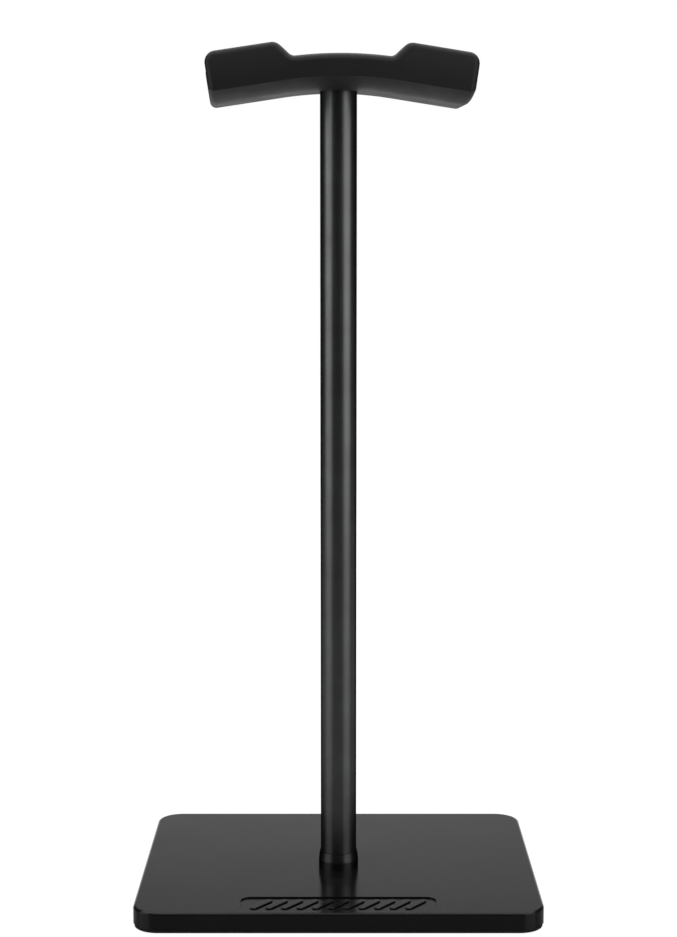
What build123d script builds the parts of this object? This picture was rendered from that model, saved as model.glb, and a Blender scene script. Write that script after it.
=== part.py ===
"""Headphone stand: a weighted base, a tubular pole and a soft saddle that turns on it.

Millimetres. +Z is up, +X to the right and -Y to the front. The origin is the centre of the
base's underside, on the surface that the stand rests on.
"""

from build123d import *
import math
import os

# ---- base -------------------------------------------------------------------------------
BASE_W = 127.5  # along X
BASE_D = 100.0  # along Y
BASE_CORNER_R = 8.2
BASE_EDGE_R = 0.8  # small round along the top edge

PAD_T = 1.0  # non-slip sheet
PAD_INSET = 0.35  # the sheet stops this far inside the shell's wall
PLATE_T = 3.7  # steel ballast
COVER_ROOF_T = 1.8
COVER_WALL_T = 2.0
PLATE_GAP = 0.4  # between the ballast and the shell's walls

POLE_Y = -5.5  # the pole stands a little in front of the base's middle

# sunk panel in the shell's roof, with a row of raised slanted ribs
PANEL_W = 61.0
PANEL_D = 12.0
PANEL_CORNER_R = 3.0
PANEL_SINK = 0.45
PANEL_EDGE_GAP = 2.4  # from the base's front wall to the panel
RIB_COUNT = 11
RIB_LENGTH = 9.6
RIB_W = 2.2
RIB_PITCH = 4.8
RIB_SLANT = 38.0  # degrees from the front-to-back direction
RIB_RISE = 0.45
RIB_EDGE_R = 0.15

# screws that hold the ballast in the shell
WEIGHT_SCREW_X = 100.0  # spacing along X
WEIGHT_SCREW_Y = 76.0  # spacing along Y
WEIGHT_SCREW_SHANK_R = 1.3
WEIGHT_SCREW_LENGTH = 3.0  # under the head
WEIGHT_SCREW_HEAD_R = 4.2
WEIGHT_SCREW_HEAD_T = 1.0
WEIGHT_SCREW_SINK = 0.2  # of the heads, over the plate's underside
BOSS_R = 3.5
BOSS_GAP = 0.1  # between a screw's head and its boss
PILOT_EXTRA = 0.1  # depth of a pilot hole past its screw's tip

# ---- pole -------------------------------------------------------------------------------
POLE_R = 5.8
POLE_WALL_T = 1.2
POLE_LENGTH = 252.4
POLE_SINK = 0.8  # the foot stands this deep in the shell's roof
POLE_EDGE = 0.35  # chamfer on the tube's ends

COLLAR_WALL_T = 0.6
COLLAR_H = 5.4
COLLAR_TOP_CHAMFER = 0.4
COLLAR_TOP_CHAMFER_H = 2.8

INSERT_LENGTH = 16.0
INSERT_GROOVE_W = 1.6
INSERT_GROOVE_T = 0.4

BOLT_R = 2.5
BOLT_LENGTH = 17.5  # from the plate's underside
BOLT_HEAD_R = 5.0
BOLT_SOCKET_AF = 3.0  # hexagon socket, across flats
BOLT_SOCKET_DEPTH = 1.6

# ---- headrest ---------------------------------------------------------------------------
HEAD_TURN = 3.5  # degrees about the pole, left end towards the front
HEAD_D = 46.0  # across the two lips
HEAD_ARCH_R = 111.0  # underside, over the middle
HEAD_ARCH_HALF = 17.0  # half the length of the curved middle
HEAD_WING = 23.1  # straight stretch at each end
HEAD_FLOOR_T = 4.4
HEAD_LIP_T = 3.0  # at the lip's foot
HEAD_LEAN = 1.2  # how far the outer wall has curved in at the top of the ears
HEAD_CREASE_H = 3.2  # where the outer wall meets the rising edge of the underside
HEAD_CREASE_W = 14.0  # how far in from the wall the underside starts to rise
HEAD_EAR_H = 15.2  # top of the ears over the underside
HEAD_LIP_H = 10.1  # top of the low middle of each lip
EAR_TOP_X = 20.1  # inner end of the ear's top edge
NOTCH_X = 15.4  # end of the low middle
EAR_CORNER_R = 3.5
NOTCH_CORNER_R = 2.5
HEAD_INNER_R = 1.4  # where floor and lips meet
HEAD_RIM_R = 0.7
HEAD_END_R = 2.0  # round the ends, upright and below
HEAD_SOCKET_DEPTH = 1.2  # the tube's top stands this deep in the underside

HUB_FLANGE_R = 9.0
HUB_FLANGE_T = 1.4
HUB_SINK = 0.35  # flange under the saddle's floor, at the middle
HUB_STEM_DEPTH = 14.0  # below the tube's top
HUB_WELL_R = 3.3  # for the screw's head
HUB_WELL_FLOOR_T = 4.0
SCREW_R = 2.0
SCREW_THREAD_LENGTH = 10.0  # in the upper insert
SCREW_HEAD_R = 3.0
SCREW_HEAD_H = 2.4
SCREW_SOCKET_AF = 2.5
SCREW_SOCKET_DEPTH = 1.5
WASHER_R = 3.1
WASHER_T = 0.6
SPRING_WASHER_R = 2.95
SPRING_WASHER_T = 0.9
SPRING_WASHER_SLIT = 0.5
CAP_R = 6.2
CAP_T = 0.8
CAP_STUB_H = 2.0
CAP_EDGE_R = 0.25

# ---- fits -------------------------------------------------------------------------------
CLEAR_HOLE = 0.25  # radial, a screw or boss in a plain hole
PAD_HOLE_GAP = 0.5  # radial, round the bolt's head
COLLAR_FIT = 0.05  # radial, collar on the tube
RUN_FIT = 0.06  # radial, hub stem in the tube
TURN_GAP = 0.3  # radial, between the saddle's socket and the tube
SEAT_GAP = 0.1  # along the axis, where the head turns on the pole and under the washer
WASHER_GAP = 0.1  # radial, washers on the screw
INSERT_GAP = 1.0  # between the hub's stem and the upper insert
CAP_GAP = 0.1  # radial, cap in its recess
TOUCH = 0.01  # how near counts as lying on a surface, when edges are chosen

# ---- heights that follow ----------------------------------------------------------------
COVER_BOTTOM_Z = PAD_T
ROOF_UNDER_Z = PAD_T + PLATE_T
BASE_TOP_Z = ROOF_UNDER_Z + COVER_ROOF_T
POLE_FOOT_Z = BASE_TOP_Z - POLE_SINK
POLE_TOP_Z = POLE_FOOT_Z + POLE_LENGTH
HEAD_UNDER_Z = POLE_TOP_Z - HEAD_SOCKET_DEPTH + SEAT_GAP
POLE_BORE_R = POLE_R - POLE_WALL_T
COLLAR_R = POLE_R + COLLAR_FIT + COLLAR_WALL_T
BOLT_HEAD_H = BOLT_HEAD_R - BOLT_R  # a 90 degree head

POLE_AXIS = Plane((0, POLE_Y, 0))
weight_screw_spots = GridLocations(WEIGHT_SCREW_X, WEIGHT_SCREW_Y, 2, 2)

os.makedirs("parts", exist_ok=True)


def at_pole(height):
    """A level plane on the pole's axis."""
    return POLE_AXIS.offset(height)


# ---- base cover -------------------------------------------------------------------------
def is_rib_top(face):
    """Whether a face is the small flat top of a rib."""
    top_z = BASE_TOP_Z - PANEL_SINK + RIB_RISE
    return abs(face.center().Z - top_z) < TOUCH and face.area < RIB_LENGTH * RIB_W


panel_y = -BASE_D / 2 + PANEL_EDGE_GAP + PANEL_D / 2
counterbore_z = PAD_T + WEIGHT_SCREW_SINK + WEIGHT_SCREW_HEAD_T

with BuildPart() as base_cover:
    with BuildSketch(Plane.XY.offset(COVER_BOTTOM_Z)):
        RectangleRounded(BASE_W, BASE_D, BASE_CORNER_R)
    extrude(amount=BASE_TOP_Z - COVER_BOTTOM_Z)
    fillet(base_cover.faces().sort_by(Axis.Z)[-1].edges(), BASE_EDGE_R)
    # hollow for the ballast
    with BuildSketch(Plane.XY.offset(COVER_BOTTOM_Z)):
        RectangleRounded(
            BASE_W - 2 * COVER_WALL_T, BASE_D - 2 * COVER_WALL_T, BASE_CORNER_R - COVER_WALL_T
        )
    extrude(amount=PLATE_T, mode=Mode.SUBTRACT)
    # bosses, with pilot holes for the ballast's screws
    with BuildSketch(Plane.XY.offset(ROOF_UNDER_Z)):
        with weight_screw_spots:
            Circle(BOSS_R)
    extrude(amount=counterbore_z + BOSS_GAP - ROOF_UNDER_Z)
    with BuildSketch(Plane.XY.offset(counterbore_z)):
        with weight_screw_spots:
            Circle(WEIGHT_SCREW_SHANK_R)
    extrude(amount=WEIGHT_SCREW_LENGTH + PILOT_EXTRA, mode=Mode.SUBTRACT)
    # seat for the pole's foot, and the bolt's hole
    with BuildSketch(at_pole(POLE_FOOT_Z)):
        Circle(POLE_R + COLLAR_FIT)
    extrude(amount=POLE_SINK, mode=Mode.SUBTRACT)
    with BuildSketch(at_pole(ROOF_UNDER_Z)):
        Circle(BOLT_R + CLEAR_HOLE)
    extrude(amount=COVER_ROOF_T, mode=Mode.SUBTRACT)
    # sunk panel
    with BuildSketch(Plane.XY.offset(BASE_TOP_Z)):
        with Locations((0, panel_y)):
            RectangleRounded(PANEL_W, PANEL_D, PANEL_CORNER_R)
    extrude(amount=-PANEL_SINK, mode=Mode.SUBTRACT)
    # row of slanted ribs on the panel's floor
    with BuildSketch(Plane.XY.offset(BASE_TOP_Z - PANEL_SINK)):
        with Locations((0, panel_y)):
            with GridLocations(RIB_PITCH, 0, RIB_COUNT, 1):
                SlotOverall(RIB_LENGTH, RIB_W, rotation=90 - RIB_SLANT)
    extrude(amount=RIB_RISE)
    fillet(base_cover.faces().filter_by(is_rib_top).edges(), RIB_EDGE_R)
base_cover.part.label = "base_cover"
export_step(base_cover.part, "parts/base_cover.step")

# ---- ballast plate ----------------------------------------------------------------------
with BuildPart() as weight_plate:
    with BuildSketch(Plane.XY.offset(PAD_T)):
        RectangleRounded(
            BASE_W - 2 * (COVER_WALL_T + PLATE_GAP),
            BASE_D - 2 * (COVER_WALL_T + PLATE_GAP),
            BASE_CORNER_R - COVER_WALL_T - PLATE_GAP,
        )
    extrude(amount=PLATE_T)
    with BuildSketch(Plane.XY.offset(PAD_T)):
        with weight_screw_spots:
            Circle(BOSS_R + CLEAR_HOLE)
    extrude(amount=PLATE_T, mode=Mode.SUBTRACT)
    with BuildSketch(Plane.XY.offset(PAD_T)):
        with weight_screw_spots:
            Circle(WEIGHT_SCREW_HEAD_R + CLEAR_HOLE)
    extrude(amount=counterbore_z - PAD_T, mode=Mode.SUBTRACT)
    # countersunk hole for the pole's bolt
    with BuildSketch(at_pole(PAD_T)):
        Circle(BOLT_R + CLEAR_HOLE)
    extrude(amount=PLATE_T, mode=Mode.SUBTRACT)
    with BuildSketch(Plane.XZ.offset(-POLE_Y)):
        with BuildLine():
            Polyline(
                (0, PAD_T),
                (BOLT_HEAD_R + CLEAR_HOLE, PAD_T),
                (BOLT_R + CLEAR_HOLE, PAD_T + BOLT_HEAD_H),
                (0, PAD_T + BOLT_HEAD_H),
                close=True,
            )
        make_face()
    revolve(axis=Axis((0, POLE_Y, 0), (0, 0, 1)), mode=Mode.SUBTRACT)
weight_plate.part.label = "weight_plate"
export_step(weight_plate.part, "parts/weight_plate.step")

# ---- ballast screws ---------------------------------------------------------------------
with BuildPart() as weight_screws:
    with BuildSketch(Plane.XY.offset(counterbore_z)):
        with weight_screw_spots:
            Circle(WEIGHT_SCREW_HEAD_R)
    extrude(amount=-WEIGHT_SCREW_HEAD_T)
    with BuildSketch(Plane.XY.offset(counterbore_z)):
        with weight_screw_spots:
            Circle(WEIGHT_SCREW_SHANK_R)
    extrude(amount=WEIGHT_SCREW_LENGTH)
weight_screws.part.label = "weight_screws"
export_step(weight_screws.part, "parts/weight_screws.step")

# ---- non-slip pad -----------------------------------------------------------------------
with BuildPart() as base_pad:
    with BuildSketch():
        RectangleRounded(
            BASE_W - 2 * PAD_INSET, BASE_D - 2 * PAD_INSET, BASE_CORNER_R - PAD_INSET
        )
        with Locations((0, POLE_Y)):
            Circle(BOLT_HEAD_R + PAD_HOLE_GAP, mode=Mode.SUBTRACT)
    extrude(amount=PAD_T)
base_pad.part.label = "base_pad"
export_step(base_pad.part, "parts/base_pad.step")

# ---- bolt up into the pole --------------------------------------------------------------
with BuildPart() as pole_bolt:
    with BuildSketch(Plane.XZ.offset(-POLE_Y)):
        with BuildLine():
            Polyline(
                (0, PAD_T),
                (BOLT_HEAD_R, PAD_T),
                (BOLT_R, PAD_T + BOLT_HEAD_H),
                (BOLT_R, PAD_T + BOLT_LENGTH),
                (0, PAD_T + BOLT_LENGTH),
                close=True,
            )
        make_face()
    revolve(axis=Axis((0, POLE_Y, 0), (0, 0, 1)))
    with BuildSketch(at_pole(PAD_T)):
        RegularPolygon(BOLT_SOCKET_AF / 2, 6, major_radius=False)
    extrude(amount=BOLT_SOCKET_DEPTH, mode=Mode.SUBTRACT)
pole_bolt.part.label = "pole_bolt"
export_step(pole_bolt.part, "parts/pole_bolt.step")

# ---- ring round the pole's foot ---------------------------------------------------------
with BuildPart() as foot_collar:
    with BuildSketch(Plane.XZ.offset(-POLE_Y)):
        with BuildLine():
            Polyline(
                (POLE_R + COLLAR_FIT, BASE_TOP_Z),
                (COLLAR_R, BASE_TOP_Z),
                (COLLAR_R, BASE_TOP_Z + COLLAR_H - COLLAR_TOP_CHAMFER_H),
                (COLLAR_R - COLLAR_TOP_CHAMFER, BASE_TOP_Z + COLLAR_H),
                (POLE_R + COLLAR_FIT, BASE_TOP_Z + COLLAR_H),
                close=True,
            )
        make_face()
    revolve(axis=Axis((0, POLE_Y, 0), (0, 0, 1)))
foot_collar.part.label = "foot_collar"
export_step(foot_collar.part, "parts/foot_collar.step")

# ---- pole -------------------------------------------------------------------------------
with BuildPart() as pole_tube:
    with BuildSketch(at_pole(POLE_FOOT_Z)):
        Circle(POLE_R)
    extrude(amount=POLE_LENGTH)
    chamfer(pole_tube.edges().filter_by(GeomType.CIRCLE), POLE_EDGE)
    with BuildSketch(at_pole(POLE_FOOT_Z)):
        Circle(POLE_BORE_R)
    extrude(amount=POLE_LENGTH, mode=Mode.SUBTRACT)
pole_tube.part.label = "pole_tube"
export_step(pole_tube.part, "parts/pole_tube.step")


def threaded_plug(bottom_z, thread_r):
    """A plug pressed in the tube, with two glue grooves round it and a threaded hole through."""
    with BuildPart() as plug:
        with BuildSketch(at_pole(bottom_z)):
            Circle(POLE_BORE_R)
            Circle(thread_r, mode=Mode.SUBTRACT)
        extrude(amount=INSERT_LENGTH)
        for share in (1, 2):
            with BuildSketch(at_pole(bottom_z + share * INSERT_LENGTH / 3 - INSERT_GROOVE_W / 2)):
                Circle(POLE_BORE_R)
                Circle(POLE_BORE_R - INSERT_GROOVE_T, mode=Mode.SUBTRACT)
            extrude(amount=INSERT_GROOVE_W, mode=Mode.SUBTRACT)
    return plug.part


upper_insert_top_z = POLE_TOP_Z - HUB_STEM_DEPTH - INSERT_GAP
lower_insert = threaded_plug(POLE_FOOT_Z, BOLT_R)
lower_insert.label = "lower_insert"
export_step(lower_insert, "parts/lower_insert.step")
upper_insert = threaded_plug(upper_insert_top_z - INSERT_LENGTH, SCREW_R)
upper_insert.label = "upper_insert"
export_step(upper_insert, "parts/upper_insert.step")

# ---- headrest ---------------------------------------------------------------------------
arch_angle = math.degrees(math.asin(HEAD_ARCH_HALF / HEAD_ARCH_R))
arch_centre_z = HEAD_UNDER_Z - HEAD_ARCH_R
head_plane = Plane((0, POLE_Y, 0), x_dir=Vector(1, 0, 0).rotate(Axis.Z, HEAD_TURN), z_dir=(0, 0, 1))
head_side = Plane(
    (0, POLE_Y, 0), x_dir=head_plane.x_dir, z_dir=-head_plane.y_dir
)  # looks at the front lip, with its own y up


def on_arch(height, angle):
    """A point `height` over the underside, `angle` degrees to the right of the middle."""
    radius = HEAD_ARCH_R + height
    turn = math.radians(angle)
    return (radius * math.sin(turn), arch_centre_z + radius * math.cos(turn))


def wing_end(height, side):
    """The end of the straight wing, `height` over the underside."""
    x, z = on_arch(height, side * arch_angle)
    turn = math.radians(arch_angle)
    return (x + side * HEAD_WING * math.cos(turn), z - HEAD_WING * math.sin(turn))


def angle_at(height, x):
    """How far round the arch the point at `x` lies, in degrees."""
    return math.degrees(math.asin(x / (HEAD_ARCH_R + height)))


def arch_band(low, high):
    """The saddle's side view between two heights over its underside, on the current line."""
    Polyline(on_arch(low, -arch_angle), wing_end(low, -1), wing_end(high, -1), on_arch(high, -arch_angle))
    ThreePointArc(on_arch(high, -arch_angle), on_arch(high, 0), on_arch(high, arch_angle))
    Polyline(on_arch(high, arch_angle), wing_end(high, 1), wing_end(low, 1), on_arch(low, arch_angle))
    ThreePointArc(on_arch(low, arch_angle), on_arch(low, 0), on_arch(low, -arch_angle))


def side_point(place):
    """A point of the saddle's side view, on the middle plane between the lips."""
    return head_side.from_local_coords((place[0], place[1], 0))


def height_over_underside(point):
    """How far a point stands over the saddle's underside, square to it."""
    place = head_side.to_local_coords(point)
    turn = min(math.atan2(abs(place.X), place.Y - arch_centre_z), math.radians(arch_angle))
    return abs(place.X) * math.sin(turn) + (place.Y - arch_centre_z) * math.cos(turn) - HEAD_ARCH_R


def is_on_lip_top(edge):
    """Whether both ends of an edge are at least as high as the low middle of the lips."""
    return min(height_over_underside(edge @ 0), height_over_underside(edge @ 1)) > HEAD_LIP_H - TOUCH


def is_below_ears(edge):
    """Whether the middle of an edge lies under the rounded corners of the ears."""
    return height_over_underside(edge @ 0.5) < HEAD_EAR_H - EAR_CORNER_R


notch_angle = angle_at(HEAD_LIP_H, NOTCH_X)
ear_angle = angle_at(HEAD_EAR_H, EAR_TOP_X)


def past_ear(side):
    """A point on the slanted end of the low middle, carried on past the ear's top."""
    low_x, low_z = on_arch(HEAD_LIP_H, side * notch_angle)
    top_x, top_z = on_arch(HEAD_EAR_H, side * ear_angle)
    return (2 * top_x - low_x, 2 * top_z - low_z)


left_end = Plane(
    side_point(wing_end(0, -1)),
    x_dir=head_plane.y_dir,
    z_dir=head_plane.x_dir.rotate(Axis((0, 0, 0), head_plane.y_dir), -arch_angle),
)  # square to the left wing, with its own x towards the back
head_across = Axis((0, POLE_Y, 0), head_plane.y_dir)
head_along = Axis((0, POLE_Y, 0), head_plane.x_dir)
hub_top_z = HEAD_UNDER_Z + HEAD_FLOOR_T - HUB_SINK
hub_seat_z = hub_top_z - HUB_FLANGE_T
hub_stem_r = POLE_BORE_R - RUN_FIT

# the trough for the headband, as a solid to cut away
with BuildPart() as trough:
    with BuildSketch(head_side):
        with BuildLine():
            arch_band(HEAD_FLOOR_T, 2 * HEAD_EAR_H)
        make_face()
    extrude(amount=HEAD_D / 2 - HEAD_LIP_T, both=True)
    floor_edges = trough.edges().filter_by(
        lambda edge: abs(height_over_underside(edge @ 0.5) - HEAD_FLOOR_T) < TOUCH
    )
    fillet(floor_edges.filter_by(head_across, reverse=True), HEAD_INNER_R)

with BuildPart() as headrest:
    # whole block, as high as the ears: its cross-section swept along the arched underside
    with BuildLine(head_side):
        Line(wing_end(0, -1), on_arch(0, -arch_angle))
        ThreePointArc(on_arch(0, -arch_angle), on_arch(0, 0), on_arch(0, arch_angle))
        Line(on_arch(0, arch_angle), wing_end(0, 1))
    with BuildSketch(left_end):
        with BuildLine():
            rise = Line((0, 0), (HEAD_D / 2 - HEAD_CREASE_W, 0))
            crease = TangentArc(rise @ 1, (HEAD_D / 2, HEAD_CREASE_H), tangent=(1, 0))
            wall = TangentArc(crease @ 1, (HEAD_D / 2 - HEAD_LEAN, HEAD_EAR_H), tangent=(0, 1))
            Line(wall @ 1, (0, HEAD_EAR_H))
            mirror(about=Plane.YZ)
        make_face()
    sweep()
    # low middle of both lips
    with BuildSketch(head_side):
        with BuildLine():
            low = ThreePointArc(
                on_arch(HEAD_LIP_H, -notch_angle), on_arch(HEAD_LIP_H, 0), on_arch(HEAD_LIP_H, notch_angle)
            )
            Polyline(low @ 1, past_ear(1), past_ear(-1), low @ 0)
        make_face()
    extrude(amount=HEAD_D, both=True, mode=Mode.SUBTRACT)
    for side in (-1, 1):
        for place, radius in (
            (wing_end(HEAD_EAR_H, side), EAR_CORNER_R),
            (on_arch(HEAD_EAR_H, side * ear_angle), EAR_CORNER_R),
            (on_arch(HEAD_LIP_H, side * notch_angle), NOTCH_CORNER_R),
        ):
            across = headrest.edges().filter_by(head_across)
            fillet(across.sort_by_distance(side_point(place))[0], radius)
    # rounds along the ends' low and upright edges
    ends = headrest.faces().filter_by(GeomType.PLANE).sort_by(head_along)
    end_edges = (ends[0].edges() + ends[-1].edges()).filter_by(is_below_ears)
    fillet(end_edges, HEAD_END_R)
    # trough and rims
    add(trough.part, mode=Mode.SUBTRACT)
    rims = headrest.edges().filter_by(is_on_lip_top).filter_by(head_across, reverse=True)
    fillet(rims, HEAD_RIM_R)
    # seat of the hub, its stem's hole, and the socket for the tube's top
    with BuildSketch(at_pole(hub_seat_z)):
        Circle(HUB_FLANGE_R)
    extrude(amount=HEAD_FLOOR_T, mode=Mode.SUBTRACT)
    with BuildSketch(at_pole(HEAD_UNDER_Z)):
        Circle(hub_stem_r)
    extrude(amount=HEAD_FLOOR_T, mode=Mode.SUBTRACT)
    with BuildSketch(at_pole(HEAD_UNDER_Z - HEAD_FLOOR_T)):
        Circle(POLE_R + TURN_GAP)
    extrude(amount=HEAD_FLOOR_T + HEAD_SOCKET_DEPTH, mode=Mode.SUBTRACT)
headrest.part.label = "headrest"
export_step(headrest.part, "parts/headrest.step")

# ---- hub in the saddle ------------------------------------------------------------------
well_floor_z = POLE_TOP_Z - HUB_STEM_DEPTH + HUB_WELL_FLOOR_T

with BuildPart() as headrest_hub:
    with BuildSketch(at_pole(hub_seat_z)):
        Circle(HUB_FLANGE_R)
    extrude(amount=HUB_FLANGE_T)
    with BuildSketch(at_pole(hub_seat_z)):
        Circle(hub_stem_r)
    extrude(amount=POLE_TOP_Z - HUB_STEM_DEPTH - hub_seat_z)
    chamfer(headrest_hub.edges().filter_by(GeomType.CIRCLE).sort_by(Axis.Z)[0], POLE_EDGE)
    # recess for the cap, well for the screw's head, hole for its shank
    with BuildSketch(at_pole(hub_top_z)):
        Circle(CAP_R + CAP_GAP)
    extrude(amount=-CAP_T, mode=Mode.SUBTRACT)
    with BuildSketch(at_pole(well_floor_z)):
        Circle(HUB_WELL_R)
    extrude(amount=hub_top_z - well_floor_z, mode=Mode.SUBTRACT)
    with BuildSketch(at_pole(well_floor_z)):
        Circle(SCREW_R + CLEAR_HOLE)
    extrude(amount=-HUB_WELL_FLOOR_T, mode=Mode.SUBTRACT)
headrest_hub.part.label = "headrest_hub"
export_step(headrest_hub.part, "parts/headrest_hub.step")

# ---- screw, washers and cap -------------------------------------------------------------
washer_z = well_floor_z + SEAT_GAP
spring_washer_z = washer_z + WASHER_T
screw_head_z = spring_washer_z + SPRING_WASHER_T
screw_tip_z = upper_insert_top_z - SCREW_THREAD_LENGTH

with BuildPart() as headrest_washer:
    with BuildSketch(at_pole(washer_z)):
        Circle(WASHER_R)
        Circle(SCREW_R + WASHER_GAP, mode=Mode.SUBTRACT)
    extrude(amount=WASHER_T)
headrest_washer.part.label = "headrest_washer"
export_step(headrest_washer.part, "parts/headrest_washer.step")

with BuildPart() as headrest_spring_washer:
    with BuildSketch(at_pole(spring_washer_z)):
        Circle(SPRING_WASHER_R)
        Circle(SCREW_R + WASHER_GAP, mode=Mode.SUBTRACT)
        with Locations((SPRING_WASHER_R, 0)):
            Rectangle(2 * (SPRING_WASHER_R - SCREW_R), SPRING_WASHER_SLIT, mode=Mode.SUBTRACT)
    extrude(amount=SPRING_WASHER_T)
headrest_spring_washer.part.label = "headrest_spring_washer"
export_step(headrest_spring_washer.part, "parts/headrest_spring_washer.step")

with BuildPart() as headrest_screw:
    with BuildSketch(at_pole(screw_tip_z)):
        Circle(SCREW_R)
    extrude(amount=screw_head_z - screw_tip_z)
    with BuildSketch(at_pole(screw_head_z)):
        Circle(SCREW_HEAD_R)
    extrude(amount=SCREW_HEAD_H)
    with BuildSketch(at_pole(screw_head_z + SCREW_HEAD_H)):
        RegularPolygon(SCREW_SOCKET_AF / 2, 6, major_radius=False)
    extrude(amount=-SCREW_SOCKET_DEPTH, mode=Mode.SUBTRACT)
headrest_screw.part.label = "headrest_screw"
export_step(headrest_screw.part, "parts/headrest_screw.step")

with BuildPart() as screw_cap:
    with BuildSketch(at_pole(hub_top_z - CAP_T)):
        Circle(CAP_R)
    extrude(amount=CAP_T)
    fillet(screw_cap.edges().group_by(Axis.Z)[-1], CAP_EDGE_R)
    with BuildSketch(at_pole(hub_top_z - CAP_T)):
        Circle(HUB_WELL_R)
    extrude(amount=-CAP_STUB_H)
screw_cap.part.label = "screw_cap"
export_step(screw_cap.part, "parts/screw_cap.step")
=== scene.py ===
"""Looks of the headphone stand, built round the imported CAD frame. Metres, +Z up, -Y to the front."""

import math

import bpy
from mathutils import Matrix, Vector

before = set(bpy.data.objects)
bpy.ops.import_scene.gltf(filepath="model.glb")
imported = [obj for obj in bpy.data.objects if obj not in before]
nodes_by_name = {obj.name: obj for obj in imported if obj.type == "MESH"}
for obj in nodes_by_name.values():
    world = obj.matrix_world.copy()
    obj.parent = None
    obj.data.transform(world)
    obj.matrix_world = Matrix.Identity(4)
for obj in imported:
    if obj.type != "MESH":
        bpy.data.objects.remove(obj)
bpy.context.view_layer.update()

MM = 0.001

# ---- camera -----------------------------------------------------------------------------
CAMERA_DISTANCE = 610 * MM  # in front of the base's middle
CAMERA_HEIGHT = 215.6 * MM
CAMERA_PITCH = math.radians(7.30)  # looking down
CAMERA_LENS = 73.0
CAMERA_SENSOR = 36  # the sensor's width, in the lens's millimetres
CAMERA_NEAR = 10 * MM


def make_camera():
    data = bpy.data.cameras.new("camera")
    data.lens = CAMERA_LENS
    data.sensor_width = CAMERA_SENSOR
    data.clip_start = CAMERA_NEAR
    camera = bpy.data.objects.new("camera", data)
    camera.location = (0, -CAMERA_DISTANCE, CAMERA_HEIGHT)
    camera.rotation_euler = (math.radians(90) - CAMERA_PITCH, 0, 0)
    bpy.context.scene.collection.objects.link(camera)
    bpy.context.scene.camera = camera


# ---- material helpers -------------------------------------------------------------------
class Surface:
    """A principled material whose sockets are driven by procedural textures in object space."""

    def __init__(self, name, **constants):
        self.material = bpy.data.materials.new(name)
        self.material.use_nodes = True
        self.tree = self.material.node_tree
        self.shader = self.tree.nodes["Principled BSDF"]
        self.place = self.tree.nodes.new("ShaderNodeTexCoord").outputs["Object"]
        for socket, value in constants.items():
            self.shader.inputs[socket.replace("_", " ")].default_value = value

    def stretched(self, x, y, z):
        """The place, with each axis scaled."""
        mapping = self.tree.nodes.new("ShaderNodeMapping")
        mapping.inputs["Scale"].default_value = (x, y, z)
        self.tree.links.new(self.place, mapping.inputs["Vector"])
        return mapping.outputs["Vector"]

    def noise(self, per_metre, detail=3.0, roughness=0.55, place=None):
        """Noise with about so many features to the metre, or to the unit of the place given."""
        node = self.tree.nodes.new("ShaderNodeTexNoise")
        node.inputs["Scale"].default_value = per_metre
        node.inputs["Detail"].default_value = detail
        node.inputs["Roughness"].default_value = roughness
        self.tree.links.new(place or self.place, node.inputs["Vector"])
        return node.outputs["Fac"]

    def cells(self, per_metre):
        """The distance from the middle of round cells, so many to the metre."""
        node = self.tree.nodes.new("ShaderNodeTexVoronoi")
        node.inputs["Scale"].default_value = per_metre
        self.tree.links.new(self.place, node.inputs["Vector"])
        return node.outputs["Distance"]

    def ramp(self, source, low, high, start=0.3, end=0.7):
        """A number or colour that goes from low to high as source goes from start to end."""
        node = self.tree.nodes.new("ShaderNodeValToRGB")
        first, last = node.color_ramp.elements
        first.position, last.position = start, end
        for element, value in ((first, low), (last, high)):
            element.color = (*value, 1) if isinstance(value, tuple) else (value, value, value, 1)
        self.tree.links.new(source, node.inputs["Fac"])
        return node.outputs["Color"]

    def drive(self, socket, source):
        self.tree.links.new(source, self.shader.inputs[socket])

    def bump(self, *layers):
        """Each layer is a height source, its strength and its depth in metres."""
        normal = None
        for source, strength, depth in layers:
            node = self.tree.nodes.new("ShaderNodeBump")
            node.inputs["Strength"].default_value = strength
            node.inputs["Distance"].default_value = depth
            self.tree.links.new(source, node.inputs["Height"])
            if normal is not None:
                self.tree.links.new(normal, node.inputs["Normal"])
            normal = node.outputs["Normal"]
        self.tree.links.new(normal, self.shader.inputs["Normal"])


def grey(value, warmth=0.0):
    """A near-neutral colour, a little blue where warmth is negative."""
    return (value * (1 + warmth), value, value * (1 - warmth))


# ---- materials --------------------------------------------------------------------------
ANODISED_EDGE = 0.12  # tint of the black finish where it is seen edge on
METAL_ROUGH_SPREAD = 0.12  # from the smoothest to the roughest of a bare metal


def moulded_abs():
    s = Surface("moulded_abs", Specular_IOR_Level=0.25)
    s.drive("Base Color", s.ramp(s.noise(60, 4), grey(0.0034), grey(0.0048, -0.02)))
    s.drive("Roughness", s.ramp(s.noise(45, 5, 0.6), 0.13, 0.20))
    s.bump((s.noise(1800, 2), 0.10, 0.02 * MM), (s.noise(30, 2), 0.06, 0.2 * MM))
    return s.material


def anodised(name, low, high):
    """Satin black aluminium: a dark metal whose edge tint keeps it from having a bright rim."""
    s = Surface(name, Metallic=1.0, Specular_Tint=(*grey(ANODISED_EDGE), 1))
    drawn = s.noise(1.0, 5, 0.6, s.stretched(3000, 3000, 40))
    s.drive("Base Color", s.ramp(s.noise(80, 3), grey(low), grey(high, -0.02)))
    s.drive("Roughness", s.ramp(drawn, 0.28, 0.36))
    s.bump((drawn, 0.10, 0.01 * MM), (s.noise(2500, 2), 0.06, 0.01 * MM))
    return s.material


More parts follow.
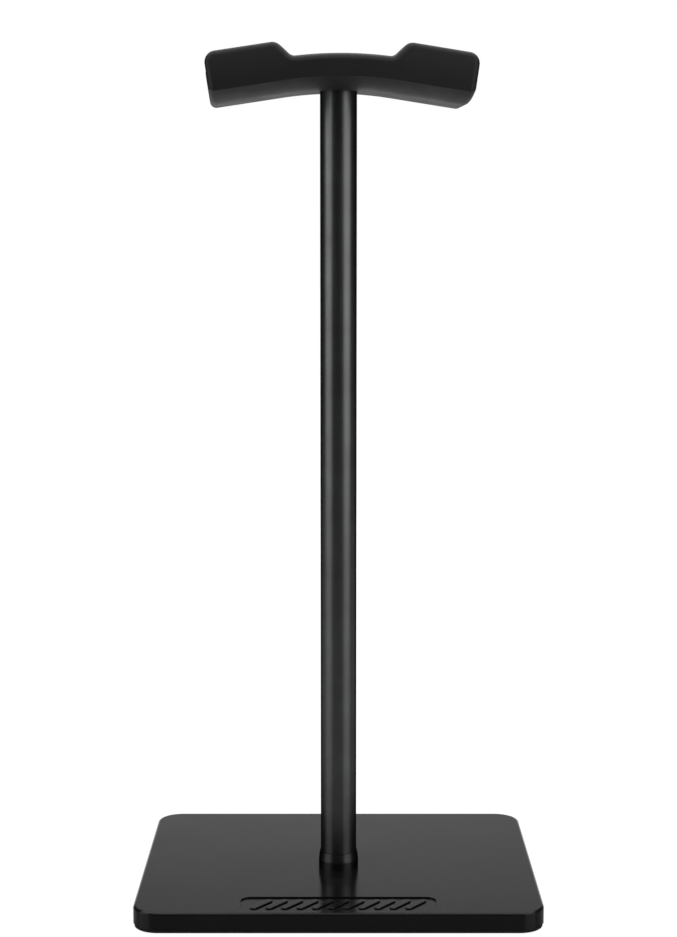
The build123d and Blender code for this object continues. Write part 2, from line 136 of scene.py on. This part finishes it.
def soft_tpu():
    s = Surface("soft_tpu", Specular_IOR_Level=0.36)
    s.drive("Base Color", s.ramp(s.noise(70, 4), grey(0.0016), grey(0.0026, -0.02)))
    s.drive("Roughness", s.ramp(s.noise(90, 5, 0.6), 0.50, 0.60))
    s.bump((s.noise(2600, 2), 0.25, 0.03 * MM), (s.noise(60, 2), 0.10, 0.15 * MM))
    return s.material


def nylon():
    s = Surface("nylon", Specular_IOR_Level=0.4)
    s.drive("Base Color", s.ramp(s.noise(120, 3), grey(0.012), grey(0.018)))
    s.drive("Roughness", s.ramp(s.noise(160, 3), 0.45, 0.55))
    s.bump((s.noise(2500, 2), 0.2, 0.02 * MM))
    return s.material


def foam_rubber():
    s = Surface("foam_rubber", Specular_IOR_Level=0.25)
    pores = s.cells(1600)
    s.drive("Base Color", s.ramp(pores, grey(0.006), grey(0.020), 0.05, 0.6))
    s.drive("Roughness", s.ramp(s.noise(140, 4), 0.75, 0.9))
    s.bump((pores, 0.6, 0.08 * MM))
    return s.material


def metal(name, colour, tint, per_metre, rough):
    """A bare metal with its grain stretched by the scale on each axis."""
    s = Surface(name, Metallic=1.0)
    grain = s.noise(1.0, 5, 0.6, s.stretched(*per_metre))
    s.drive("Base Color", s.ramp(grain, colour, tint))
    s.drive("Roughness", s.ramp(grain, rough, rough + METAL_ROUGH_SPREAD))
    s.bump((grain, 0.15, 0.02 * MM))
    return s.material


def dress_frame():
    rolled = metal("rolled_steel", (0.36, 0.36, 0.37), (0.46, 0.46, 0.47), (60, 2500, 2500), 0.32)
    zinc = metal("zinc_plate", (0.55, 0.56, 0.58), (0.68, 0.69, 0.71), (900, 900, 900), 0.24)
    brass = metal("turned_brass", (0.62, 0.45, 0.20), (0.74, 0.57, 0.29), (500, 500, 4000), 0.25)
    plastic_nylon = nylon()
    coats = {
        "base_cover": moulded_abs(),
        "weight_plate": rolled,
        "weight_screws": zinc,
        "base_pad": foam_rubber(),
        "pole_bolt": zinc,
        "foot_collar": anodised("black_anodised_ring", 0.050, 0.064),
        "pole_tube": anodised("black_anodised", 0.105, 0.130),
        "lower_insert": brass,
        "upper_insert": brass,
        "headrest": soft_tpu(),
        "headrest_hub": plastic_nylon,
        "headrest_washer": zinc,
        "headrest_spring_washer": zinc,
        "headrest_screw": zinc,
        "screw_cap": plastic_nylon,
    }
    for name, material in coats.items():
        data = nodes_by_name[name].data
        data.materials.clear()
        data.materials.append(material)


# ---- studio -----------------------------------------------------------------------------
FLOOR_HALF = 6.0  # metres
FLOOR_SHADOW = 0.20  # how much of the floor's own shading shows in its white
FLOOR_WHITE = 1.20  # strength of the white that the camera sees
FLOOR_FRONT = 0.29  # grey of the floor as a reflector, in front of the stand
FLOOR_BACK = 0.60  # and behind it
FLOOR_CHANGE = 0.1  # metres behind the origin over which the one turns into the other
FLOOR_ROUGH = 0.2


def make_floor():
    data = bpy.data.meshes.new("floor")
    near, far = -FLOOR_HALF, FLOOR_HALF
    corners = [(near, near, 0), (far, near, 0), (far, far, 0), (near, far, 0)]
    data.from_pydata(corners, [], [(0, 1, 2, 3)])
    floor = bpy.data.objects.new("floor", data)
    bpy.context.scene.collection.objects.link(floor)
    s = Surface("pale_floor", Specular_IOR_Level=1.0, Roughness=FLOOR_ROUGH)
    # paler behind the stand than in front of it, so that the saddle's underside stands out
    apart = s.tree.nodes.new("ShaderNodeSeparateXYZ")
    s.tree.links.new(s.place, apart.inputs["Vector"])
    shade = s.ramp(apart.outputs["Y"], grey(FLOOR_FRONT), grey(FLOOR_BACK), 0, FLOOR_CHANGE)
    s.drive("Base Color", shade)
    # a sweep so bright that it is white to the eye, though it lights the object like grey paper
    white = s.tree.nodes.new("ShaderNodeEmission")
    white.inputs["Strength"].default_value = FLOOR_WHITE
    path = s.tree.nodes.new("ShaderNodeLightPath")
    share = s.tree.nodes.new("ShaderNodeMath")
    share.operation = "MULTIPLY"
    share.inputs[1].default_value = 1 - FLOOR_SHADOW
    mix = s.tree.nodes.new("ShaderNodeMixShader")
    s.tree.links.new(path.outputs["Is Camera Ray"], share.inputs[0])
    s.tree.links.new(share.outputs["Value"], mix.inputs["Fac"])
    s.tree.links.new(s.shader.outputs["BSDF"], mix.inputs[1])
    s.tree.links.new(white.outputs["Emission"], mix.inputs[2])
    s.tree.links.new(mix.outputs["Shader"], s.tree.nodes["Material Output"].inputs["Surface"])
    data.materials.append(s.material)


def area_light(name, place, target, width, height, watts):
    data = bpy.data.lights.new(name, "AREA")
    data.shape = "RECTANGLE"
    data.size = width
    data.size_y = height
    data.energy = watts
    light = bpy.data.objects.new(name, data)
    light.location = place
    light.rotation_euler = (Vector(target) - Vector(place)).to_track_quat("-Z", "Y").to_euler()
    bpy.context.scene.collection.objects.link(light)


def around(degrees, distance, height):
    """A place seen from the pole, so many degrees to the right of the camera."""
    turn = math.radians(degrees)
    return (distance * math.sin(turn), -distance * math.cos(turn), height)


# world light against how far a direction turns from the front (0) to the back (1)
WORLD_STOPS = ((0.0, 0.035), (0.86, 0.05), (0.955, 0.30), (0.985, 0.60))


def make_world():
    """White to the eye; as a light it is bright behind the object and dim in front of it."""
    world = bpy.data.worlds.new("studio")
    world.use_nodes = True
    tree = world.node_tree
    tree.nodes.clear()
    output = tree.nodes.new("ShaderNodeOutputWorld")
    seen = tree.nodes.new("ShaderNodeBackground")
    seen.inputs["Color"].default_value = (1, 1, 1, 1)
    place = tree.nodes.new("ShaderNodeTexCoord")
    apart = tree.nodes.new("ShaderNodeSeparateXYZ")
    tree.links.new(place.outputs["Generated"], apart.inputs["Vector"])
    half = tree.nodes.new("ShaderNodeMapRange")
    half.inputs["From Min"].default_value = -1
    tree.links.new(apart.outputs["Y"], half.inputs["Value"])
    ramp = tree.nodes.new("ShaderNodeValToRGB")
    elements = ramp.color_ramp.elements
    while len(elements) < len(WORLD_STOPS):
        elements.new(1.0)
    for element, (position, value) in zip(elements, WORLD_STOPS):
        element.position = position
        element.color = (value, value, value, 1)
    tree.links.new(half.outputs["Result"], ramp.inputs["Fac"])
    lighting = tree.nodes.new("ShaderNodeBackground")
    tree.links.new(ramp.outputs["Color"], lighting.inputs["Color"])
    mix = tree.nodes.new("ShaderNodeMixShader")
    path = tree.nodes.new("ShaderNodeLightPath")
    tree.links.new(path.outputs["Is Camera Ray"], mix.inputs["Fac"])
    tree.links.new(lighting.outputs["Background"], mix.inputs[1])
    tree.links.new(seen.outputs["Background"], mix.inputs[2])
    tree.links.new(mix.outputs["Shader"], output.inputs["Surface"])
    bpy.context.scene.world = world


STAND_MIDDLE = (0, 0, 0.16)
SADDLE = (0, 0, 0.25)

LIGHTS = (
    # name, place, what it points at, width and height in metres, watts
    ("light_top", (0, 0.3, 0.9), (0, 0.3, 0), 1.4, 0.7, 9.5),
    ("light_left", around(-66, 0.9, 0.42), STAND_MIDDLE, 0.76, 0.9, 3.3),
    ("light_right", around(55, 0.9, 0.42), STAND_MIDDLE, 0.76, 0.9, 3.6),
    ("light_front", around(0, 0.8, 1.25), SADDLE, 1.4, 0.6, 7.0),
    ("light_back", (0, 0.9, 0.09), SADDLE, 1.2, 0.14, 0.6),
)


make_camera()
dress_frame()
make_floor()
make_world()
for light in LIGHTS:
    area_light(*light)
bpy.context.scene.view_settings.view_transform = "Standard"
